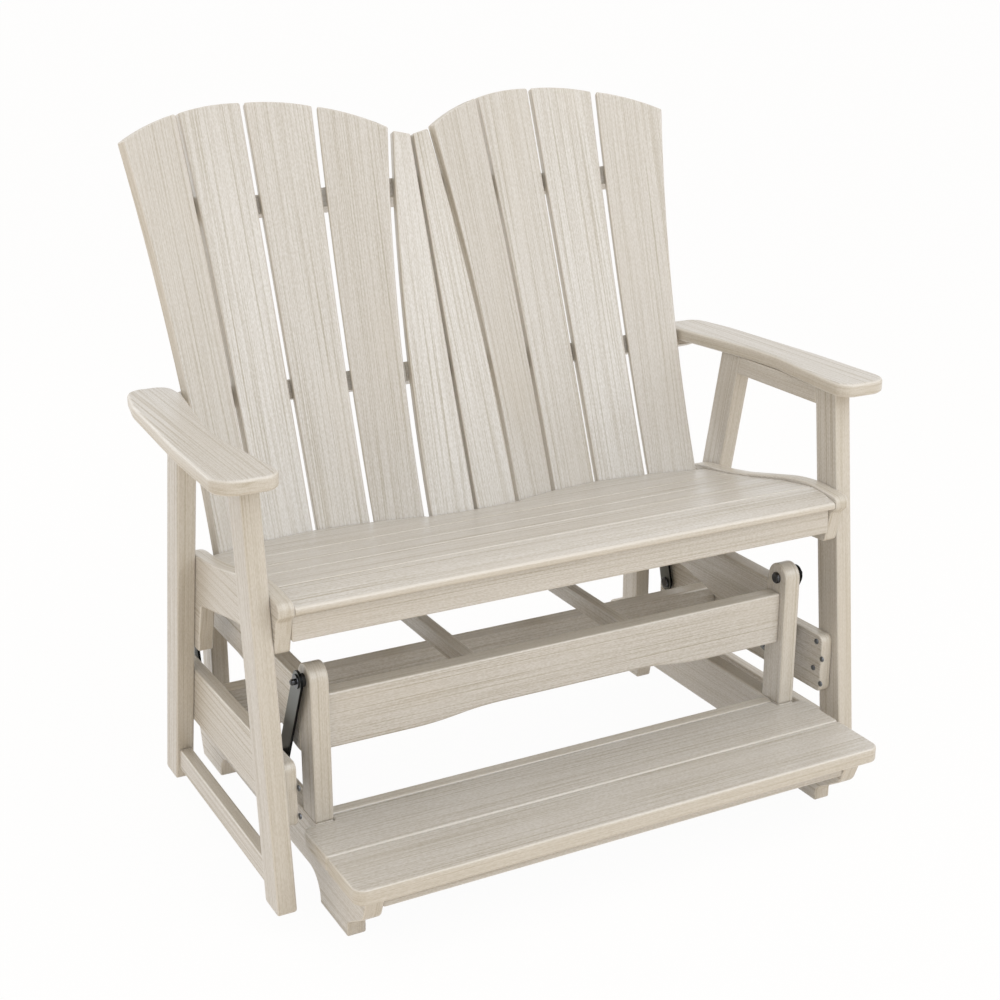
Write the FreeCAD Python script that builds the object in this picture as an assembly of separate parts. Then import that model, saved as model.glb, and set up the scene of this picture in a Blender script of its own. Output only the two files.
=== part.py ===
import FreeCAD
import Part
import math
import os

# Double glider bench of plastic lumber boards. A base on two arched runners carries four steel
# links, and the seat hangs from the links. Millimetres, +Z up, the sitter faces -Y, and left and
# right are as seen from the front. While it is drawn, y = 0 is at the front of the runner feet and
# x = 0 is the plane of symmetry. At the end everything moves to the middle of its own depth.

V = FreeCAD.Vector

# Stock
board = 35.0               # thickness of the frame boards
edge = 4.0                 # rounded edge of a board
tiny = 1e-6                # lengths below this count as nothing
cutter = 300.0             # size of the blocks that trim a board
trim_room = 40.0           # how far such a block reaches past the board
smooth_limit = 0.985       # cosine between faces above which an edge counts as smooth

# Base
base_inner = 480.0         # inner face of the runners, posts and side rails, from the middle
base_outer = base_inner + board
runner_top = 153.0
deck_seat = 123.0          # ledge on the runners that the footrest boards lie on
post_width = 58.0
front_post_y = 129.0
rear_post_y = 660.5
side_rail_top = 403.0
side_rail_low = (266.0, 330.0)                         # lower edge in front and behind the bend
side_rail_bend = [(215.0, 150.0), (470.0, 300.0)]      # (y, radius) where the bend starts and ends
front_apron_y = 144.0
rear_apron_y = 672.0
apron_top = 387.0
apron_low = 283.0
apron_arch = 295.5         # lower edge of the front apron in its middle
apron_bend = (275.0, 180.0, 600.0)                     # x where the edge rises, and the radius
rib_x = 154.5
rib_thick = 25.0
rib_low = 330.0
rib_top = 366.0

# Runner seen from the side: (y, z, corner radius), a nose, two feet and the arch between them
runner_outline = [
    (-88, deck_seat, 3), (-68, 72, 30), (0, 28, 15), (0, 0, 5), (121, 0, 5), (128, 53, 45),
    (636, 53, 45), (646, 0, 5), (754, 0, 5), (776, 70, 20), (776, runner_top, 25),
    (front_post_y, runner_top, 0), (front_post_y, deck_seat, 0)]

# Footrest
deck_half = 541.0          # half length of the two footrest boards
deck_edge = 5.0
deck_corners = (22.0, 6.0, 15.0)                       # front, between the boards and behind
front_deck_y = (-108.0, 17.0)
rear_deck_y = (19.0, 148.0)
notch_gap = 1.0            # room between a post and the footrest
front_deck_rail = (-75.0, 25.0, 90.0, deck_seat)       # y, thickness, lower and upper edge
rear_deck_rail = (150.0, 26.0, 95.0, runner_top)

# Links and pivots
pivot_z = 416.0
post_top = pivot_z + post_width / 2
front_upper = (front_post_y + post_width / 2, pivot_z)
front_lower = (243.0, 237.0)
rear_upper = (rear_post_y + post_width / 2, pivot_z)
rear_lower = (639.7, 224.4)
front_link_x = 523.0
rear_link_x = 545.0
link_thick = 5.0
link_half = 19.0           # half width of a link and the radius of its ends
link_edge = 0.8
pin_radius = 6.0
pin_run = 0.05             # radial clearance of a turning link
fixed_run = 0.1            # radial clearance of a hole that a bolt is tightened in
float_run = 4.1            # radial clearance of the rear lower eyes, where the linkage is opened
side_play = 0.3
spacer_radius = 12.0
washer_radius = 13.0
washer_thick = 2.5
pin_stub = (5.5, 9.2)      # radius and length of the pin's end outside the washer
upper_head = (11.5, 6.0)   # radius and height of the bolt head inside the post
lower_head = (12.0, 3.5)
lower_bolt_end = 576.0
hole_end = 1.0             # room at the bottom of a bolt's hole

# Seat frame
leg_x = 582.0
hanger_thick = 26.0
hanger_x = leg_x - hanger_thick
side_rail_x = 553.0
foot_z = 37.0
foot_round = 8.0
arm_low = 784.0
arm_high = 811.0
front_leg_foot = (55.0, 118.0)
front_leg_head = (141.6, 204.6)
rear_leg_foot = (610.0, 674.0)
rear_leg_head = (452.0, 516.0)
stretcher_x = 587.0
stretcher_thick = 24.0
stretcher_z = (62.0, 107.0)
arm_support_low = 746.0
hanger_outline = [(100, 174.5, 12), (678, 167, 6), (678, 283, 6), (100, 295, 14)]
cross_rail_y = 465.0
cross_rail_z = (182.0, 275.0)

# Right arm from above: (x, y, corner radius), broad in front, waisted, with a round rear end
arm_outline = [
    (556, 89, 32), (672, 89, 42), (672, 300, 900), (657, 590, 150), (638, 694, 34),
    (558, 694, 32), (551, 630, 60), (580, 420, 200), (582, 330, 200), (562, 170, 200)]
arm_edge = 7.0

# Seat side rail from the side: (y, z, corner radius), with the contour of the seat and a rear foot
seat_rail_outline = [
    (82, 569, 8), (82, 591, 14), (165, 598, 300), (230, 591, 400), (390, 553, 600), (467, 540, 600),
    (540, 534, 150), (593, 514, 12), (600, 426, 60), (590, 336, 5), (527, 336, 5), (497, 439, 12),
    (292, 483, 500), (112, 493, 10), (97, 556, 6)]
slat_half = 552.5
slat_thick = 25.0
slat_edge = 3.0
nose_edge = 2.0
seat_front_y = 102.0
seat_apron = (28.0, 514.0, 566.0)                      # thickness, lower and upper edge
nose_outline = [(84, 567.5, 5), (84, 581, 8), (122, 590.5, 60), (159, 593, 3), (159, 567.5, 3)]
slat_tops = [((161, 593), (247, 581)), ((249, 580.5), (337, 560.5)), ((339, 560), (427, 542.5))]
last_slat_top = ((429, 542), (585, 517.4))
last_slat_gap = 3.0        # room between the last seat slat and the back slats
rib_end = 486.0
rib_depth = 45.0
rib_gap = 0.5              # room between the centre rib and the seat slats

# Back, drawn upright and then leaned: two fans of four slats and a pair of slats between them
lean = 20.96
back_foot = V(0, 509, 520)
back_thick = 22.0
back_low = -45.0
back_gaps = (12.5, 8.0, 8.0, 8.0)                      # gaps between slats, outwards from the middle pair
fan_x = 318.0              # middle of a fan
fan_foot = (-217.5, -112.5, 0.0, 115.5, 213.5)         # edges between slats at the seat
fan_head = (-273.0, -138.0, 0.0, 140.0, 266.5)         # the same edges at the top
arch_radius = 480.0        # curve of a fan's top
arch_peak = 863.0
inner_dip = 66.0           # how deep the middle of a fan lies behind its edges
inner_turn = 9.35          # degrees that the inner slats turn towards the fan's middle
outer_x = 127.0
outer_dip = 45.1
first_turn = 18.8          # turn of a fan's slat nearest the middle of the bench
outer_turn = 23.4          # turn of its outermost slat
centre_turn = 5.0
centre_gap = 3.7           # from the plane of symmetry to each centre slat
centre_top = (776.0, 767.0)
bar_thick = 38.0
lower_bar = (-45.0, 553.0, 104.0)                      # lower edge, half length, rear edge
middle_bar = (283.0, 543.0, 120.0)
upper_bar = (648.0, 540.0, 130.0)
bar_step = 5.0             # how far a crossbar steps round the edge of a slat
tongue = (556.0, 612.0, 45.0, 85.0)                    # start, end, front and rear edge of the arm tongue

# Screw heads
head_round = 0.6           # rim radius as a share of the smaller of a head's height and radius
frame_head = (5.5, 3.0)
bar_head = (6.0, 3.5)
front_frame_heads = [(117, 280), (97, 249), (122, 221), (97, 195.5)]
rear_frame_heads = [(588, 204), (612, 200), (596, 183), (636, 181)]


def side(x):
    return lambda p: V(x, p.x, p.y)


def front(y):
    return lambda p: V(p.x, y, p.y)


def plan(z):
    return lambda p: V(p.x, p.y, z)


def mirrored(shape):
    return shape.mirror(V(0, 0, 0), V(1, 0, 0))


def outline(corners, place):
    """Closed wire through (a, b, radius) corners, each with a radius rounded by a tangent arc."""
    spots = [V(a, b, 0) for a, b, radius in corners]
    runs = []
    for index, corner in enumerate(corners):
        here = spots[index]
        radius = corner[2]
        if radius == 0:
            runs.append([here])
            continue
        back = (spots[index - 1] - here).normalize()
        ahead = (spots[(index + 1) % len(spots)] - here).normalize()
        half = back.getAngle(ahead) / 2
        reach = radius / math.tan(half)
        middle = here + (back + ahead).normalize() * (radius / math.sin(half) - radius)
        runs.append([here + back * reach, middle, here + ahead * reach])
    edges = []
    for index, run in enumerate(runs):
        last = runs[index - 1][-1]
        if last.distanceToPoint(run[0]) > tiny:
            edges.append(Part.LineSegment(place(last), place(run[0])).toShape())
        if len(run) == 3:
            edges.append(Part.Arc(*[place(p) for p in run]).toShape())
    return Part.Wire(edges)


def eased(solid, radius, wanted=lambda point: True):
    """Round the sharp edges whose middle point is wanted."""
    sharp = []
    for line in solid.Edges:
        point = line.valueAt((line.FirstParameter + line.LastParameter) / 2)
        normals = []
        for face in solid.ancestorsOfType(line, Part.Face):
            u, v = face.Surface.parameter(point)
            normals.append(face.normalAt(u, v))
        if normals[0].dot(normals[1]) < smooth_limit and wanted(point):
            sharp.append(line)
    return solid.makeFillet(radius, sharp).Solids[0]


def cut_board(corners, place, sweep, radius=edge):
    """Board of one outline with all its edges rounded."""
    return eased(Part.Face(outline(corners, place)).extrude(sweep), radius)


def straight_board(size, corner, radius=edge):
    """Plain rectangular board with rounded edges."""
    return eased(Part.makeBox(size[0], size[1], size[2], corner), radius)


def bore(radius, x_from, x_to, y, z):
    return Part.makeCylinder(radius, x_to - x_from, V(x_from, y, z), V(1, 0, 0))


def button_head(foot, axis, radius, height):
    """Low screw head that stands on a face, with a rounded rim."""
    head = Part.makeCylinder(radius, height, foot, axis)
    rim = [line for line in head.Edges
           if line.Closed and (line.Curve.Center - foot).Length > height / 2]
    return head.makeFillet(head_round * min(height, radius), rim).Solids[0]


# Base

def post(y):
    corners = [(y, runner_top, 0), (y + post_width, runner_top, 0),
               (y + post_width, post_top, post_width / 2), (y, post_top, post_width / 2)]
    shape = cut_board(corners, side(base_inner), V(board, 0, 0))
    return shape.cut(bore(pin_radius + fixed_run, base_inner, base_outer, y + post_width / 2, pivot_z))


def base_side_rail():
    """Rail between the posts, arched below to clear the seat's cross rail."""
    start = front_post_y + post_width
    low, high = side_rail_low
    (bend_start, first_radius), (bend_end, second_radius) = side_rail_bend
    corners = [(start, low, 0), (bend_start, low, first_radius), (bend_end, high, second_radius),
               (rear_post_y, high, 0), (rear_post_y, side_rail_top, 0), (start, side_rail_top, 0)]
    return cut_board(corners, side(base_inner), V(board, 0, 0))


def base_front_apron():
    """Apron whose lower edge rises in two soft curves to a higher middle."""
    outer, inner, soft = apron_bend
    corners = [(-base_inner, apron_low, 0), (-outer, apron_low, soft), (-inner, apron_arch, soft),
               (inner, apron_arch, soft), (outer, apron_low, soft), (base_inner, apron_low, 0),
               (base_inner, apron_top, 0), (-base_inner, apron_top, 0)]
    return cut_board(corners, front(front_apron_y), V(0, board, 0))


def footrest_rear_board():
    """Footrest board that stops in front of the posts and reaches further back between them."""
    y_front, y_rear = rear_deck_y
    inside = base_inner - notch_gap
    stop_y = front_post_y - notch_gap
    half = [(deck_half, y_front, deck_corners[1]), (deck_half, stop_y, deck_corners[2]),
            (inside, stop_y, 0), (inside, y_rear, 0)]
    corners = half + [(-x, y, radius) for x, y, radius in reversed(half)]
    return cut_board(corners, plan(deck_seat), V(0, 0, runner_top - deck_seat), deck_edge)


def footrest_front_board():
    y_front, y_rear = front_deck_y
    front_radius, rear_radius = deck_corners[:2]
    corners = [(-deck_half, y_front, front_radius), (deck_half, y_front, front_radius),
               (deck_half, y_rear, rear_radius), (-deck_half, y_rear, rear_radius)]
    return cut_board(corners, plan(deck_seat), V(0, 0, runner_top - deck_seat), deck_edge)


def footrest_rail(y, thick, low, high):
    return straight_board((2 * base_inner, thick, high - low), V(-base_inner, y, low))


def upper_bolt(link_x, y):
    """Pivot bolt of a post: head inside, shank, washer outside the link and a rounded stub."""
    washer_x = link_x + link_thick + side_play
    stub_x = washer_x + washer_thick
    stub = button_head(V(stub_x, y, pivot_z), V(1, 0, 0), *pin_stub)
    shape = button_head(V(base_inner, y, pivot_z), V(-1, 0, 0), *upper_head)
    shape = shape.fuse(bore(pin_radius, base_inner, stub_x, y, pivot_z))
    shape = shape.fuse(bore(washer_radius, washer_x, stub_x, y, pivot_z))
    return shape.fuse(stub).removeSplitter().Solids[0]


def ring(x_from, x_to, y, z):
    hole = bore(pin_radius + fixed_run, x_from, x_to, y, z)
    return bore(spacer_radius, x_from, x_to, y, z).cut(hole).Solids[0]


# Links

def link(link_x, upper, lower, lower_run):
    """Flat bar with round ends from an upper pivot to a lower one."""
    rise = upper[1] - lower[1]
    shift = lower[0] - upper[0]
    length = math.hypot(rise, shift)
    top = link_half
    foot = -length - link_half
    corners = [(-link_half, top, link_half), (link_half, top, link_half),
               (link_half, foot, link_half), (-link_half, foot, link_half)]
    bar = cut_board(corners, side(link_x), V(link_thick, 0, 0), link_edge)
    bar.rotate(V(0, 0, 0), V(1, 0, 0), math.degrees(math.atan2(shift, rise)))
    bar.translate(V(0, upper[0], upper[1]))
    bar = bar.cut(bore(pin_radius + pin_run, link_x, link_x + link_thick, *upper))
    return bar.cut(bore(pin_radius + lower_run, link_x, link_x + link_thick, *lower)).Solids[0]


def lower_bolt(link_x, y, z):
    """Pivot bolt that is screwed into a hanger rail, with a low head inside the link."""
    head_x = link_x - side_play
    head = button_head(V(head_x, y, z), V(-1, 0, 0), *lower_head)
    return head.fuse(bore(pin_radius, head_x, lower_bolt_end, y, z)).removeSplitter().Solids[0]


# Seat frame

def leg(foot, head):
    corners = [(foot[0], foot_z, foot_round), (foot[1], foot_z, foot_round), (head[1], arm_low, 0),
               (head[0], arm_low, 0)]
    return cut_board(corners, side(leg_x), V(board, 0, 0))


def leg_edge(foot, head, z):
    """y of the edge of a leg at height z."""
    return foot + (head - foot) * (z - foot_z) / (arm_low - foot_z)


def between_legs(x, thick, low, high):
    """Rail that fits between the front leg and the rear leg."""
    corners = [(leg_edge(front_leg_foot[1], front_leg_head[1], low), low, 0),
               (leg_edge(rear_leg_foot[0], rear_leg_head[0], low), low, 0),
               (leg_edge(rear_leg_foot[0], rear_leg_head[0], high), high, 0),
               (leg_edge(front_leg_foot[1], front_leg_head[1], high), high, 0)]
    return cut_board(corners, side(x), V(thick, 0, 0))


def hanger_rail():
    rail = cut_board(hanger_outline, side(hanger_x), V(hanger_thick, 0, 0))
    for y, z in (front_lower, rear_lower):
        rail = rail.cut(bore(pin_radius + fixed_run, hanger_x, lower_bolt_end + hole_end, y, z))
    return rail.Solids[0]


def seat_slat(top):
    """Flat seat slat under one straight stretch of the seat contour."""
    (y_front, z_front), (y_rear, z_rear) = top
    corners = [(y_front, z_front - slat_thick, 0), (y_front, z_front, 0), (y_rear, z_rear, 0),
               (y_rear, z_rear - slat_thick, 0)]
    return cut_board(corners, side(-slat_half), V(2 * slat_half, 0, 0), slat_edge)


def last_seat_slat():
    """Rear seat slat, cut along the front of the back slats."""
    line = back_line(0, -last_slat_gap, slat_half + trim_room, min)
    corners = [(x, y, 0) for x, y in line] + [(line[-1][0], cutter, 0), (line[0][0], cutter, 0)]
    behind = Part.Face(outline(corners, plan(2 * back_low))).extrude(V(0, 0, cutter))
    return seat_slat(last_slat_top).cut(leaned(behind)).Solids[0]


def seat_centre_rib():
    """Rib under the middle of the seat slats, from the apron to the back."""
    y_start = seat_front_y + seat_apron[0]
    last_front, last_rear = last_slat_top
    slope = (last_rear[1] - last_front[1]) / (last_rear[0] - last_front[0])
    tops = [(y_start, nose_outline[0][1]), slat_tops[0][0], slat_tops[1][0], slat_tops[2][0], last_front]
    tops.append((rib_end, last_front[1] + slope * (rib_end - last_front[0])))
    line = [tops[0]] + [(y, z - slat_thick - rib_gap) for y, z in tops[1:]]
    under = [(y, z - rib_depth) for y, z in (line[-1], line[1], line[0])]
    corners = [(y, z, 0) for y, z in line + under]
    return Part.Face(outline(corners, side(-board / 2))).extrude(V(board, 0, 0))


# Back

def leaned(shape):
    shape = shape.copy()
    shape.rotate(V(0, 0, 0), V(1, 0, 0), -lean)
    shape.translate(back_foot)
    return shape


def fan_top(across):
    """Height of a fan's arched top at a distance across from its middle."""
    return arch_peak - arch_radius + math.sqrt(arch_radius ** 2 - across ** 2)


def fan_edge(index, height):
    """Where the edge between two slats lies at a height; it bends outwards towards the top."""
    share = max(height, 0) / fan_top(fan_head[index])
    return fan_foot[index] + (fan_head[index] - fan_foot[index]) * share ** 2


def fan_planes():
    """Front plane of the slats from the middle of the bench outwards: (across, depth, turn)."""
    return [(-fan_x, 0, centre_turn), (-outer_x, outer_dip, first_turn), (0, inner_dip, inner_turn),
            (0, inner_dip, -inner_turn), (outer_x, outer_dip, -outer_turn)]


def plane_depth(plane, across, offset):
    """Depth of a slat's plane, moved back by an offset square to it."""
    turn = math.radians(plane[2])
    return plane[1] + (across - plane[0]) * math.tan(turn) + offset / math.cos(turn)


def back_line(height, offset, reach, choose):
    """Line along the slats' faces at a height, from the left end to the right end of the back."""
    planes = fan_planes()
    half = [(0, plane_depth(planes[0], -fan_x, offset))]
    for index in range(4):
        across = fan_edge(index, height)
        near = plane_depth(planes[index], across, offset)
        far = plane_depth(planes[index + 1], across, offset)
        if abs(near - far) < tiny:
            half.append((fan_x + across, near))
            continue
        towards = -1 if choose(near, far) == far else 1
        stop = across + towards * bar_step
        first, second = (stop - 1, stop) if towards < 0 else (stop, stop + 1)
        half.append((fan_x + first, plane_depth(planes[index], first, offset)))
        half.append((fan_x + second, plane_depth(planes[index + 1], second, offset)))
    half.append((reach, plane_depth(planes[4], reach - fan_x, offset)))
    return [(-x, y) for x, y in reversed(half[1:])] + half


def bend(points):
    """Arc through three points, or a line where they lie in a row."""
    first, middle, last = points
    if (middle - first).cross(last - first).Length < 1:
        return Part.LineSegment(first, last).toShape()
    return Part.Arc(first, middle, last).toShape()


def slat_from(plane, low_edge, high_edge, top_middle):
    """Back slat between two bent edges, each a (foot, middle, head) of (across, height) points."""
    turn = math.radians(plane[2])

    def spot(point):
        return V((point[0] - plane[0]) / math.cos(turn), 0, point[1])

    low = [spot(point) for point in low_edge]
    high = [spot(point) for point in high_edge]
    foot = Part.LineSegment(low[0], high[0]).toShape()
    head = bend([high[2], spot(top_middle), low[2]])
    face = Part.Face(Part.Wire([foot, bend(high), head, bend(low[::-1])]))
    slat = eased(face.extrude(V(0, back_thick, 0)), edge)
    slat.rotate(V(0, 0, 0), V(0, 0, 1), plane[2])
    slat.translate(V(fan_x + plane[0], plane[1], 0))
    return leaned(slat)


def bent_edge(index, shift, head):
    """Edge line of a slat, moved sideways from the line between two slats."""
    middle = head / 2
    return [(fan_foot[index] + shift, back_low), (fan_edge(index, middle) + shift, middle),
            (fan_head[index] + shift, head)]


def fan_slat(number):
    """One of the four slats of the right fan, counted from the middle of the bench outwards."""
    low_shift = back_gaps[number] / 2
    high_shift = 0 if number == 3 else -back_gaps[number + 1] / 2
    low = bent_edge(number, low_shift, fan_top(fan_head[number] + low_shift))
    high = bent_edge(number + 1, high_shift, fan_top(fan_head[number + 1] + high_shift))
    middle = (low[2][0] + high[2][0]) / 2
    return slat_from(fan_planes()[number + 1], low, high, (middle, fan_top(middle)))


def centre_slat():
    """Tapered slat beside the plane of symmetry, straight on its inner edge."""
    inner = centre_gap - fan_x
    high_top, low_top = centre_top
    low = [(inner, height) for height in (back_low, low_top / 2, low_top)]
    high = bent_edge(0, -back_gaps[0] / 2, high_top)
    middle = ((inner + high[2][0]) / 2, (low_top + high_top) / 2)
    return slat_from(fan_planes()[0], low, high, middle)


def crossbar(low, half, rear, ends=()):
    """Bar behind the slats: its front follows them and its rear edge is straight."""
    line = back_line(low + bar_thick / 2, back_thick, half, max)
    right = list(ends) or [(half, rear)]
    left = [(-x, y) for x, y in reversed(right)]
    corners = [(x, y, 0) for x, y in line + right + left]
    bar = Part.Face(outline(corners, plan(low))).extrude(V(0, 0, bar_thick))
    return leaned(eased(bar, edge, lambda point: point.y > rear - 1))


def middle_crossbar():
    """Bar with a tongue at each end, cut level on top for the arms."""
    low, half, rear = middle_bar
    start, end, tongue_front, tongue_rear = tongue
    ends = [(start, tongue_front), (end, tongue_front), (end, tongue_rear), (half, rear)]
    bar = crossbar(low, half, rear, ends)
    for x in (half, -half - cutter):
        bar = bar.cut(Part.makeBox(cutter, 2 * cutter, cutter, V(x, back_foot.y, arm_low)))
    return bar.Solids[0]


# Screw heads

def frame_heads():
    """Heads inside the hanger rails where the legs are bolted on."""
    return [button_head(V(hanger_x, y, z), V(-1, 0, 0), *frame_head)
            for y, z in front_frame_heads + rear_frame_heads]


def bar_heads():
    """Heads on the rear edges of the crossbars, one for each slat of the right half."""
    heads = []
    for low, half, rear in (lower_bar, middle_bar, upper_bar):
        height = low + bar_thick / 2
        lines = [centre_gap - fan_x] + [fan_edge(index, height) for index in range(5)]
        for near, far in zip(lines, lines[1:]):
            foot = V(fan_x + (near + far) / 2, rear, height)
            heads.append(leaned(button_head(foot, V(0, 1, 0), *bar_head)))
    return heads


def both_sides(solids):
    return Part.Compound(solids + [mirrored(solid) for solid in solids])


pieces = {}


def add_pair(name, shape):
    pieces[name + "_right"] = shape
    pieces[name + "_left"] = mirrored(shape)


add_pair("runner", cut_board(runner_outline, side(base_inner), V(board, 0, 0)))
add_pair("front_post", post(front_post_y).Solids[0])
add_pair("rear_post", post(rear_post_y).Solids[0])
add_pair("base_side_rail", base_side_rail())
pieces["base_front_apron"] = base_front_apron()
pieces["base_rear_apron"] = straight_board(
    (2 * base_inner, board, apron_top - apron_low), V(-base_inner, rear_apron_y, apron_low))
rib_y = front_apron_y + board
rib_size = (rib_thick, rear_apron_y - rib_y, rib_top - rib_low)
add_pair("base_rib", straight_board(rib_size, V(rib_x, rib_y, rib_low)))
pieces["footrest_front_board"] = footrest_front_board()
pieces["footrest_rear_board"] = footrest_rear_board()
pieces["footrest_front_rail"] = footrest_rail(*front_deck_rail)
pieces["footrest_rear_rail"] = footrest_rail(*rear_deck_rail)
upper_pivots = ((front_link_x, front_upper), (rear_link_x, rear_upper))
pieces["upper_pivot_bolts"] = both_sides([upper_bolt(x, spot[0]) for x, spot in upper_pivots])
pieces["upper_pivot_spacers"] = both_sides(
    [ring(base_outer, x - side_play, *spot) for x, spot in upper_pivots])

add_pair("front_link", link(front_link_x, front_upper, front_lower, pin_run))
add_pair("rear_link", link(rear_link_x, rear_upper, rear_lower, float_run))

add_pair("front_leg", leg(front_leg_foot, front_leg_head))
add_pair("rear_leg", leg(rear_leg_foot, rear_leg_head))
add_pair("lower_stretcher", between_legs(stretcher_x, stretcher_thick, *stretcher_z))
add_pair("arm_support", between_legs(leg_x, board, arm_support_low, arm_low))
add_pair("hanger_rail", hanger_rail())
cross_rail_size = (2 * hanger_x, board, cross_rail_z[1] - cross_rail_z[0])
pieces["hanger_cross_rail"] = straight_board(cross_rail_size, V(-hanger_x, cross_rail_y, cross_rail_z[0]))
add_pair("arm", cut_board(arm_outline, plan(arm_low), V(0, 0, arm_high - arm_low), arm_edge))
rail_sweep = V(leg_x - side_rail_x, 0, 0)
add_pair("seat_side_rail", cut_board(seat_rail_outline, side(side_rail_x), rail_sweep))
apron_thick, seat_apron_low, seat_apron_top = seat_apron
seat_apron_size = (2 * side_rail_x, apron_thick, seat_apron_top - seat_apron_low)
pieces["seat_front_apron"] = straight_board(seat_apron_size, V(-side_rail_x, seat_front_y, seat_apron_low))
pieces["seat_centre_rib"] = seat_centre_rib()
pieces["seat_slat_1"] = cut_board(nose_outline, side(-slat_half), V(2 * slat_half, 0, 0), nose_edge)
for number, top in enumerate(slat_tops):
    pieces["seat_slat_%d" % (number + 2)] = seat_slat(top)
pieces["seat_slat_5"] = last_seat_slat()
pieces["lower_back_crossbar"] = crossbar(*lower_bar)
pieces["middle_back_crossbar"] = middle_crossbar()
pieces["upper_back_crossbar"] = crossbar(*upper_bar)
add_pair("back_slat_centre", centre_slat())
for number in range(4):
    add_pair("back_slat_fan_%d" % (number + 1), fan_slat(number))
lower_pivots = ((front_link_x, front_lower), (rear_link_x, rear_lower))
pieces["lower_pivot_bolts"] = both_sides([lower_bolt(x, *spot) for x, spot in lower_pivots])
pieces["lower_pivot_spacers"] = both_sides(
    [ring(x + link_thick + side_play, hanger_x, *spot) for x, spot in lower_pivots])
pieces["frame_screws"] = both_sides(frame_heads() + bar_heads())

boxes = [shape.optimalBoundingBox() for shape in pieces.values()]
front_end = min(box.YMin for box in boxes)
rear_end = max(box.YMax for box in boxes)
to_middle = V(0, -(front_end + rear_end) / 2, 0)
os.makedirs("parts", exist_ok=True)
for name, shape in pieces.items():
    shape.translate(to_middle)
    shape.exportStep(os.path.join("parts", name + ".step"))
print("shift in y", round(to_middle.y, 3))
print("pieces", len(pieces))
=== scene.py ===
import math

import bpy
import numpy as np
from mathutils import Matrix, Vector


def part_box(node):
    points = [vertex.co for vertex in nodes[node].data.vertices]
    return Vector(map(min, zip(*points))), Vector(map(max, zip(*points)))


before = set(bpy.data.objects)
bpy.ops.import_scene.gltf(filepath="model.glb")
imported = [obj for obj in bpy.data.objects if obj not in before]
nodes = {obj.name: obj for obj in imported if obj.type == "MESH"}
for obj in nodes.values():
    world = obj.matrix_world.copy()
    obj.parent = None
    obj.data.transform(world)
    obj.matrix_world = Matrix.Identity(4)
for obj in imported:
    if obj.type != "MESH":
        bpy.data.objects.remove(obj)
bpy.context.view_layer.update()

# Runners: the two curved boards that the whole bench stands on, one under each side.
# They are sawn from thick plastic lumber, moulded in a pale stone colour with an
# embossed wood grain, and their edges are eased with a router.


class Socket:
    """One output of a finish's node tree; sums on it add Math nodes."""

    def __init__(self, finish, source):
        self.finish = finish
        self.source = source

    def math(self, operation, first, second):
        return self.finish.node("ShaderNodeMath", {"operation": operation}, {0: first, 1: second})

    def __add__(self, other):
        return self.math("ADD", self, other)

    def __radd__(self, other):
        return self.math("ADD", other, self)

    def __sub__(self, other):
        return self.math("SUBTRACT", self, other)

    def __rsub__(self, other):
        return self.math("SUBTRACT", other, self)

    def __mul__(self, other):
        return self.math("MULTIPLY", self, other)

    def __rmul__(self, other):
        return self.math("MULTIPLY", other, self)

    def __abs__(self):
        return self.math("ABSOLUTE", self, 0.0)

    def between(self, low, high):
        """0 below low, 1 above high, and a smooth step between them."""
        limits = {"Value": self, "From Min": low, "From Max": high}
        return self.finish.node("ShaderNodeMapRange", {"interpolation_type": "SMOOTHSTEP"}, limits)


class Finish:
    """A material, or a world, whose shader is fed by nodes."""

    def __init__(self, name, kind="materials", shader="Principled BSDF"):
        self.block = getattr(bpy.data, kind).new(name)
        self.block.use_nodes = True
        self.tree = self.block.node_tree
        self.shader = self.tree.nodes[shader]

    def plug(self, socket, value):
        if isinstance(value, Socket):
            self.tree.links.new(value.source, socket)
        else:
            socket.default_value = value

    def node(self, kind, settings=None, inputs=None, output=0):
        made = self.tree.nodes.new(kind)
        for name, value in (settings or {}).items():
            setattr(made, name, value)
        for name, value in (inputs or {}).items():
            self.plug(made.inputs[name], value)
        return Socket(self, made.outputs[output])

    def along(self, vector, direction):
        """How far a vector reaches along a direction."""
        return self.node("ShaderNodeVectorMath", {"operation": "DOT_PRODUCT"},
                         {0: vector, 1: tuple(direction)}, "Value")

    def noise(self, place, detail=2.0):
        return self.node("ShaderNodeTexNoise", {"noise_dimensions": "3D"},
                         {"Vector": place, "Scale": 1.0, "Detail": detail, "Roughness": 0.5})

    def place(self, x, y, z):
        return self.node("ShaderNodeCombineXYZ", {}, {0: x, 1: y, 2: z})

    def dents(self, height, strength, depth):
        """A surface pressed in, depth metres deep, where a height falls from 1 to 0."""
        return self.node("ShaderNodeBump", {},
                         {"Strength": strength, "Distance": depth, "Height": height})

    def mix(self, share, first, second):
        """A colour between two others."""
        return self.node("ShaderNodeMix", {"data_type": "RGBA"}, {0: share, 6: first, 7: second}, 2)

    def shade(self, **inputs):
        for name, value in inputs.items():
            self.plug(self.shader.inputs[name.replace("_", " ")], value)

    def put_on(self, *names):
        for name in names:
            nodes[name].data.materials.clear()
            nodes[name].data.materials.append(self.block)


def tone(*screen):
    """A colour as it shows on a screen, 0 to 255, as the linear colour that a shader takes."""
    return tuple(((part / 255 + 0.055) / 1.055) ** 2.4 for part in screen) + (1.0,)


across_bench = Vector((1, 0, 0))
fore_and_aft = Vector((0, 1, 0))
upright = Vector((0, 0, 1))

stone = tone(210, 207, 203)
stone_dark = tone(170, 162, 146)      # in the hollows of the grain
stone_warm = tone(206, 199, 188)      # in patches where the colour took less pigment
# Painted shade, in part: the edge faces take a warmer, darker tone that stands partly for the sawn
# core and partly for the warm shade in the gaps between boards.
sawn_and_gap_shade = tone(205, 197, 181)      # on sawn edges
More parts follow.
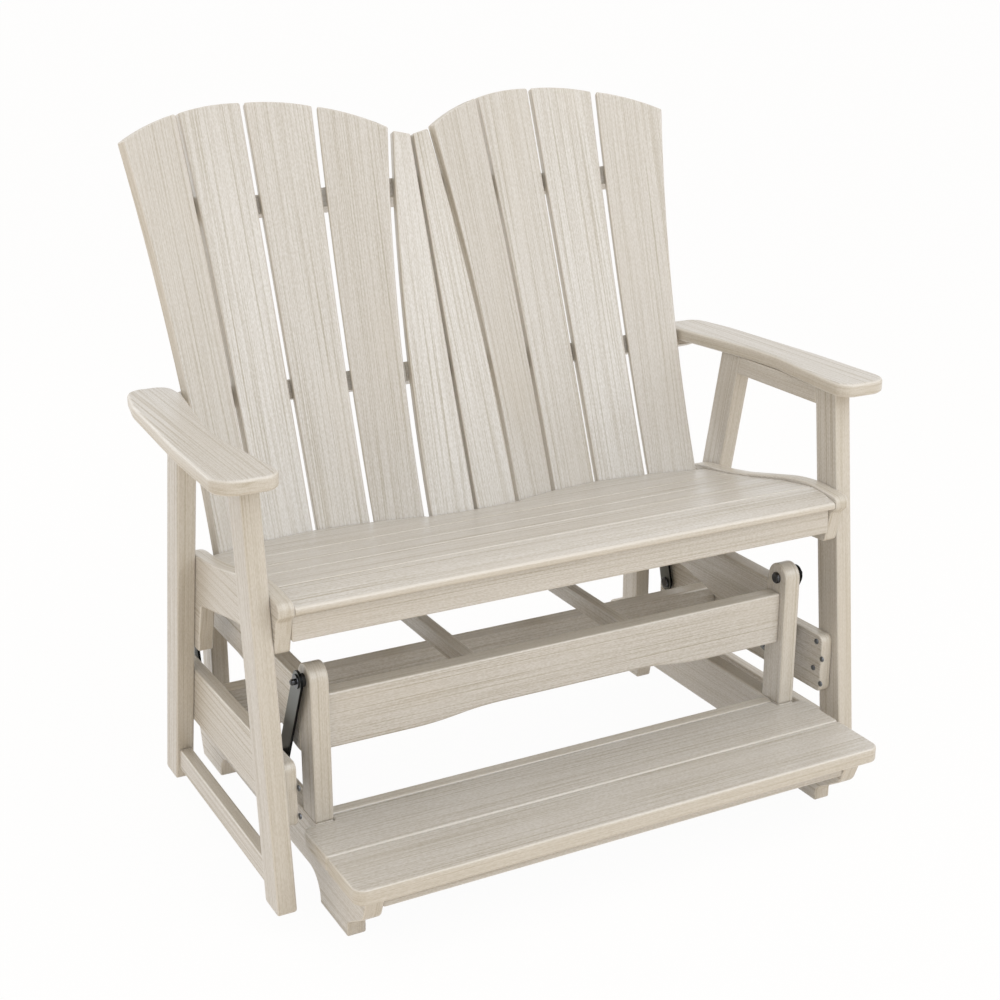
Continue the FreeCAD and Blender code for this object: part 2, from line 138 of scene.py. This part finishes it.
# Painted highlight: the rounded edges are made paler to stand for the light they catch.
painted_edge_highlight = tone(223, 219, 212)      # on rounded edges
grain_depth = 0.0006
seed_step = 3.7
boards_clad = []


def lumber(name, along, thick):
    """Clads one board: grain lines run along it on its wide faces and round it on its edges.
    Sizes of the grain are in spots to the metre, first along the board and then across it."""
    boards_clad.append(name)
    seed = seed_step * len(boards_clad)
    finish = Finish("lumber_" + name)
    spot = finish.node("ShaderNodeTexCoord", output="Object")
    facing = finish.node("ShaderNodeTexCoord", output="Normal")
    run = finish.along(spot, along)
    width = finish.along(spot, thick.cross(along))
    depth = finish.along(spot, thick)
    flat = abs(finish.along(facing, thick))
    on_face = flat.between(0.5, 0.8)

    def strands(length, pitch, through=20):
        """Noise drawn out along the board, on its wide faces and round its edges."""
        start = run * length + seed
        face = finish.noise(finish.place(start, width * pitch, depth * through), 1.0)
        rim = finish.noise(finish.place(start, width * through, depth * pitch), 1.0)
        return face * on_face + rim * (1 - on_face)

    groove = 1 - strands(1.3, 240).between(0.3, 0.5)
    hair = 1 - strands(3.2, 430).between(0.3, 0.55)
    bands = finish.noise(finish.place(run * 1.6, width * 26 + seed, depth * 26))
    patches = finish.noise(finish.place(run * 2.5 + seed, width * 7, depth * 7 + seed))
    pores = finish.noise(finish.place(run * 170 + seed, width * 560, depth * 560), 0.0)

    busy = bands.between(0.3, 0.65)
    darkness = groove * (0.3 + busy * 0.14) + hair * 0.34 + pores.between(0.35, 0.65) * 0.3
    colour = finish.mix(darkness, stone, stone_dark)
    colour = finish.mix(patches.between(0.5, 0.75) * 0.25, colour, stone_warm)
    # Edge faces are mixed toward the sawn tone: partly the core colour, partly painted shade of the
    # gaps between boards.
    colour = finish.mix((1 - on_face) * 0.35, colour, sawn_and_gap_shade)
    # Painted highlight: where a face turns into an edge, the colour is mixed toward the paler edge
    # tone.
    rounded = 1 - abs(flat - 0.7).between(0.12, 0.26)
    colour = finish.mix(rounded * (0.35 + bands * 0.3), colour, painted_edge_highlight)

    height = 1 - groove * 0.55 - hair * 0.35 - pores * 0.2
    finish.shade(Base_Color=colour, Roughness=0.3 + groove * 0.14 + hair * 0.12,
                 Specular_IOR_Level=1.0, Normal=finish.dents(height, 0.6, grain_depth))
    finish.put_on(name)


for side in ("left", "right"):
    lumber("runner_" + side, fore_and_aft, across_bench)

# Posts: four upright boards with round tops that stand on the runners, screwed from below.
# The links hang from their tops, so each carries one pivot bolt through its upper end.
for side in ("left", "right"):
    for end in ("front", "rear"):
        lumber(end + "_post_" + side, upright, across_bench)

# Base frame: side rails with an arched lower edge tie front and rear posts together, and an
# apron at each end with two ribs between them ties left to right, all screwed edge to face.
for side in ("left", "right"):
    lumber("base_side_rail_" + side, fore_and_aft, across_bench)
    lumber("base_rib_" + side, fore_and_aft, across_bench)
for end in ("front", "rear"):
    lumber("base_" + end + "_apron", across_bench, fore_and_aft)

# Footrest: two wide boards laid side by side over the runners' front ends, with a rail
# on edge under each to stiffen them.
for end in ("front", "rear"):
    lumber("footrest_" + end + "_board", across_bench, upright)
    lumber("footrest_" + end + "_rail", across_bench, fore_and_aft)

# Links: four flat steel bars with round ends, punched and plated, that the seat swings on.
# The plating is dull grey on the faces and nearly black on the sheared edges.
scuff_depth = 0.0002


def mottle(finish, scale, detail=2.0):
    """Noise over a small piece, in spots to the metre each way."""
    spot = finish.node("ShaderNodeTexCoord", output="Object")
    return finish.noise(finish.node("ShaderNodeMapping", {}, {"Vector": spot, "Scale": scale}), detail)


plating = Finish("plated_steel")
facing = plating.node("ShaderNodeTexCoord", output="Normal")
scratches = mottle(plating, (900, 900, 60))
clouds = mottle(plating, (40, 40, 40), 3.0)
on_face = abs(plating.along(facing, across_bench)).between(0.6, 0.95)
bright = plating.mix(clouds * 0.5 + scratches * 0.4, tone(96, 97, 94), tone(116, 117, 112))
plating.shade(Base_Color=plating.mix(on_face, tone(26, 26, 26), bright), Metallic=1.0,
              Roughness=0.26 + clouds * 0.12, Normal=plating.dents(scratches, 0.15, scuff_depth))
for end in ("front", "rear"):
    for side in ("left", "right"):
        plating.put_on(end + "_link_" + side)

# Pivot bolts: black-finished steel bolts with a rounded head, one through each end of each link.
# The upper ones go through the posts and the lower ones are screwed into the hanger rails.
black_steel = Finish("black_steel")
specks = mottle(black_steel, (700, 700, 700))
smear = mottle(black_steel, (90, 90, 90))
black_steel.shade(Base_Color=black_steel.mix(smear, tone(60, 60, 62), tone(104, 104, 106)),
                  Metallic=1.0, Roughness=0.12 + specks * 0.16,
                  Normal=black_steel.dents(specks, 0.2, scuff_depth))
black_steel.put_on("upper_pivot_bolts", "lower_pivot_bolts")

# Spacers: short black nylon tubes, cut from bar and slipped over the pivot bolts, that hold
# each link clear of the board beside it.
nylon = Finish("black_nylon")
matte = mottle(nylon, (500, 500, 500))
nylon.shade(Base_Color=nylon.mix(matte, tone(24, 24, 24), tone(44, 43, 42)),
            Roughness=0.45 + matte * 0.2, Normal=nylon.dents(matte, 0.2, scuff_depth))
nylon.put_on("upper_pivot_spacers", "lower_pivot_spacers")

# Seat ends: each side of the seat is a pair of sloping legs joined by a lower stretcher, a
# hanger rail that the links carry, and a shaped side rail under the seat slats.


def lie_of(name):
    """The direction in which a sloping board runs, from its foot to its head."""
    low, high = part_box(name)
    points = np.array([vertex.co for vertex in nodes[name].data.vertices])
    end_share = 0.12
    reach = end_share * (high.z - low.z)
    foot = points[points[:, 2] < low.z + reach].mean(0)
    head = points[points[:, 2] > high.z - reach].mean(0)
    return Vector(head - foot).normalized()


for side in ("left", "right"):
    for end in ("front", "rear"):
        leg = end + "_leg_" + side
        lie = lie_of(leg)
        lumber(leg, Vector((0, lie.y, lie.z)).normalized(), across_bench)
    for rail in ("lower_stretcher_", "hanger_rail_", "seat_side_rail_"):
        lumber(rail + side, fore_and_aft, across_bench)

# Seat crosspieces: a rail between the hanger rails, the front apron under the nose of the
# seat, and a rib that carries the slats at mid span.
lumber("hanger_cross_rail", across_bench, fore_and_aft)
lumber("seat_front_apron", across_bench, fore_and_aft)
lumber("seat_centre_rib", fore_and_aft, across_bench)

# Seat slats: five boards side by side, the front one with a rounded nose, screwed down
# on the side rails and the centre rib.
for number in range(1, 6):
    lumber("seat_slat_" + str(number), across_bench, upright)

# Back crossbars: three boards laid flat across the back of the slats, cut to follow them in
# front and straight behind. Each slat is screwed to all three.
for height in ("lower", "middle", "upper"):
    lumber(height + "_back_crossbar", across_bench, fore_and_aft)

# Back slats: two fans of four tapered boards with a pair of narrow ones between them, each
# cut at the top to one sweep of a scalloped crest and screwed to the crossbars.
for side in ("left", "right"):
    for slat in ("centre", "fan_1", "fan_2", "fan_3", "fan_4"):
        name = "back_slat_" + slat + "_" + side
        lie = lie_of(name)
        lumber(name, lie, lie.cross(across_bench).normalized())

# Arms: two wide boards with a waisted outline and round ends. Each is screwed down on a support
# between the tops of the two legs, and its rear end rests on the middle crossbar's tongue.
for side in ("left", "right"):
    lumber("arm_support_" + side, fore_and_aft, across_bench)
    lumber("arm_" + side, fore_and_aft, upright)

# Frame screws: stainless pan heads, dulled to a dark blue grey. They hold the legs to the hanger
# rails, where they show inside, and the slats to the crossbars, where they show behind.
stainless = Finish("dull_stainless")
dulling = mottle(stainless, (400, 400, 400))
stainless.shade(Base_Color=stainless.mix(dulling, tone(88, 92, 98), tone(134, 137, 140)),
                Metallic=0.9, Roughness=0.3 + dulling * 0.2)
stainless.put_on("frame_screws")

# Floor: a plain sweep of white studio paper. It glows white where it is looked at, and the
# little that is left of its own shade takes the bench's shadow.
sweep_width = 240
glow_share = 0.96
white = (1, 1, 1, 1)


def looked_at(finish):
    """1 where the camera or a reflection sees this straight, 0 where it only lights the bench."""
    kinds = ("Is Camera Ray", "Is Glossy Ray", "Is Transmission Ray")
    camera, glossy, through = [finish.node("ShaderNodeLightPath", output=kind) for kind in kinds]
    return camera + glossy + through


bpy.ops.mesh.primitive_plane_add(size=sweep_width)
floor = bpy.context.object
floor.name = "studio_floor"
paper = Finish("studio_paper")
paper.shade(Base_Color=(0.94, 0.86, 0.74, 1), Roughness=0.9)
glow = paper.node("ShaderNodeEmission", {}, {"Color": white, "Strength": 1.0})
shadowed = Socket(paper, paper.shader.outputs[0])
shown = paper.node("ShaderNodeMixShader", {}, {0: looked_at(paper) * glow_share, 1: shadowed, 2: glow})
paper.plug(paper.tree.nodes["Material Output"].inputs["Surface"], shown)
floor.data.materials.append(paper.block)

# Studio light: an even, faintly warm surround and four cooler soft boxes, one high at the front
# right, whose sheen shows on the back slats, one at the left, one overhead and one behind.
surround = Finish("studio", "worlds", "Background")
surround.shade(Color=surround.mix(looked_at(surround), (0.76, 0.69, 0.605, 1), white))
bpy.context.scene.world = surround.block


def soft_box(name, place, aim, size, power):
    lamp = bpy.data.lights.new(name, "AREA")
    lamp.shape = "RECTANGLE"
    lamp.size, lamp.size_y = size
    lamp.energy = power
    lamp.color = (0.86, 0.93, 1.0)
    box = bpy.data.objects.new(name, lamp)
    box.location = place
    box.rotation_euler = (Vector(aim) - Vector(place)).to_track_quat("-Z", "Y").to_euler()
    bpy.context.scene.collection.objects.link(box)


soft_box("front_right", (1.76, -3.2, 2.62), (0, 0.2, 0.9), (3.6, 1.5), 42)
soft_box("left", (-4.2, -0.9, 1.5), (0, 0, 0.4), (2.4, 2.4), 9)
soft_box("ceiling", (0, -1.5, 4.0), (0, -0.2, 0), (3.2, 3.2), 36)
soft_box("rear_left", (-2.2, 3.0, 1.6), (0, 0.2, 0.6), (2.4, 2.4), 26)

# Camera: at standing eye height off the front left corner, as the photograph was taken, with
# the lens that gives the photograph's frame.
view = bpy.data.cameras.new("photograph")
view.lens = 60.23
view.sensor_width = 36.0
stand = bpy.data.objects.new("photograph", view)
stand.location = (-1.44154, -2.67367, 1.62922)
stand.rotation_euler = (math.radians(71.0), 0, math.radians(-28.163))
bpy.context.scene.collection.objects.link(stand)
bpy.context.scene.camera = stand
bpy.context.scene.view_settings.view_transform = "Standard"
